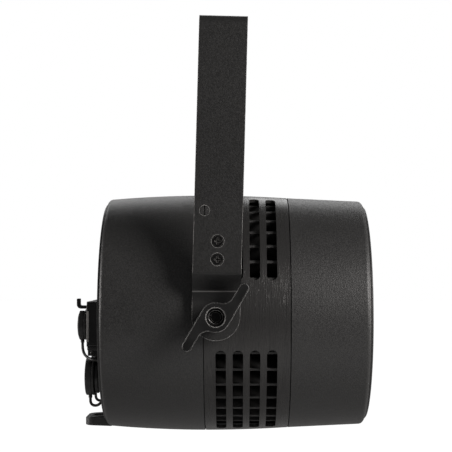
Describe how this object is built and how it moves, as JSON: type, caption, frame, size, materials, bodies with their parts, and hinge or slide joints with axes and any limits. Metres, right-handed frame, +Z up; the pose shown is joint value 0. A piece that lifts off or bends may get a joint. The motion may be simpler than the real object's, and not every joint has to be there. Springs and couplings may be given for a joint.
{
  "type": "strobe light",
  "caption": "Barrel-shaped strobe light with a vented middle ring, sealed rear connectors and a flat-bar yoke with clamp handles for hanging.",
  "frame": {"origin": "centre of the clamp hole on the top face of the yoke", "axes": "+X the way the lamp shines, +Z up, the tilt axis along Y"},
  "size_m": [0.2565, 0.265, 0.354],
  "materials": {
    "yoke_paint": "fine satin black powder coat",
    "shell_paint": "fine-textured matt black powder coat",
    "ring_paint": "black finish over metal brushed round the barrel",
    "black_steel": "smooth black finish with bright worn edges",
    "zinc_steel": "zinc plated",
    "cast_aluminium": "black cast",
    "black_plastic": "satin black moulding",
    "display_lens": "dark gloss window",
    "black_rubber": "soft matt rubber",
    "clear_glass": "clear toughened glass",
    "reflector_mirror": "faceted bright reflector",
    "emitter_phosphor": "yellow phosphor on a white plate",
    "circuit_board": "green solder mask"
  },
  "bodies": {
    "yoke": {"yoke_strap": "yoke_paint", "right_arm_plate": "black_steel", "right_arm_screw_1": "black_steel", "right_arm_screw_2": "black_steel", "right_plug_screw": "black_steel", "left_arm_plate": "black_steel", "left_arm_screw_1": "black_steel", "left_arm_screw_2": "black_steel", "left_plug_screw": "black_steel"},
    "head": {"rear_housing": "shell_paint", "front_housing": "shell_paint", "rear_panel": "shell_paint", "front_bezel": "shell_paint", "vented_ring": "ring_paint", "panel_screw_1": "black_steel", "panel_screw_2": "black_steel", "panel_screw_3": "black_steel", "panel_screw_4": "black_steel", "bezel_screw_1": "black_steel", "bezel_screw_2": "black_steel", "bezel_screw_3": "black_steel", "bezel_screw_4": "black_steel", "right_pivot_stud": "zinc_steel", "left_pivot_stud": "zinc_steel", "power_supply": "zinc_steel", "heat_sink": "cast_aluminium", "right_pivot_boss": "cast_aluminium", "left_pivot_boss": "cast_aluminium", "xlr_input": "black_plastic", "xlr_output": "black_plastic", "power_input": "black_plastic", "power_output": "black_plastic", "breather_plug": "black_plastic", "display_window": "display_lens", "xlr_input_tether": "black_rubber", "xlr_output_tether": "black_rubber", "power_input_tether": "black_rubber", "power_output_tether": "black_rubber", "glass_gasket": "black_rubber", "panel_gasket": "black_rubber", "base_seal": "black_rubber", "right_friction_washer": "black_rubber", "left_friction_washer": "black_rubber", "front_glass": "clear_glass", "reflector": "reflector_mirror", "led_emitter": "emitter_phosphor", "led_board": "circuit_board", "control_board": "circuit_board"},
    "right_handle": {"right_clamp_handle": "black_steel"},
    "left_handle": {"left_clamp_handle": "black_steel"},
    "latch": {"latch_lever": "black_steel"},
    "xlr_input_seal": {"xlr_input_cap": "black_rubber"},
    "xlr_output_seal": {"xlr_output_cap": "black_rubber"},
    "power_input_seal": {"power_input_cap": "black_rubber"},
    "power_output_seal": {"power_output_cap": "black_rubber"},
    "button_1": {"menu_button_1": "black_rubber"},
    "button_2": {"menu_button_2": "black_rubber"},
    "button_3": {"menu_button_3": "black_rubber"},
    "button_4": {"menu_button_4": "black_rubber"}
  },
  "joints": [
    {"name": "head_tilt", "type": "hinge", "parent": "yoke", "child": "head", "pos_m": [-0.00649, 0, -0.24791], "axis": [0, 1, 0], "continuous": true},
    {"name": "right_handle_turn", "type": "hinge", "parent": "head", "child": "right_handle", "pos_m": [-0.00649, -0.12, -0.24791], "axis": [0, -1, 0], "range_deg": [0, 360]},
    {"name": "left_handle_turn", "type": "hinge", "parent": "head", "child": "left_handle", "pos_m": [-0.00649, 0.12, -0.24791], "axis": [0, 1, 0], "range_deg": [0, 360]},
    {"name": "latch_press", "type": "hinge", "parent": "head", "child": "latch", "pos_m": [-0.11449, -0.022, -0.24271], "axis": [0, -1, 0], "range_deg": [0, 4], "stiffness_Nm_per_rad": 0.5},
    {"name": "xlr_input_cap_pull", "type": "slide", "parent": "head", "child": "xlr_input_seal", "axis": [-1, 0, 0], "range_m": [0, 0.01]},
    {"name": "xlr_output_cap_pull", "type": "slide", "parent": "head", "child": "xlr_output_seal", "axis": [-1, 0, 0], "range_m": [0, 0.01]},
    {"name": "power_input_cap_pull", "type": "slide", "parent": "head", "child": "power_input_seal", "axis": [-1, 0, 0], "range_m": [0, 0.01]},
    {"name": "power_output_cap_pull", "type": "slide", "parent": "head", "child": "power_output_seal", "axis": [-1, 0, 0], "range_m": [0, 0.01]},
    {"name": "button_1_press", "type": "slide", "parent": "head", "child": "button_1", "axis": [1, 0, 0], "range_m": [0, 0.0008], "stiffness_N_per_m": 400},
    {"name": "button_2_press", "type": "slide", "parent": "head", "child": "button_2", "axis": [1, 0, 0], "range_m": [0, 0.0008], "stiffness_N_per_m": 400},
    {"name": "button_3_press", "type": "slide", "parent": "head", "child": "button_3", "axis": [1, 0, 0], "range_m": [0, 0.0008], "stiffness_N_per_m": 400},
    {"name": "button_4_press", "type": "slide", "parent": "head", "child": "button_4", "axis": [1, 0, 0], "range_m": [0, 0.0008], "stiffness_N_per_m": 400}
  ]
}
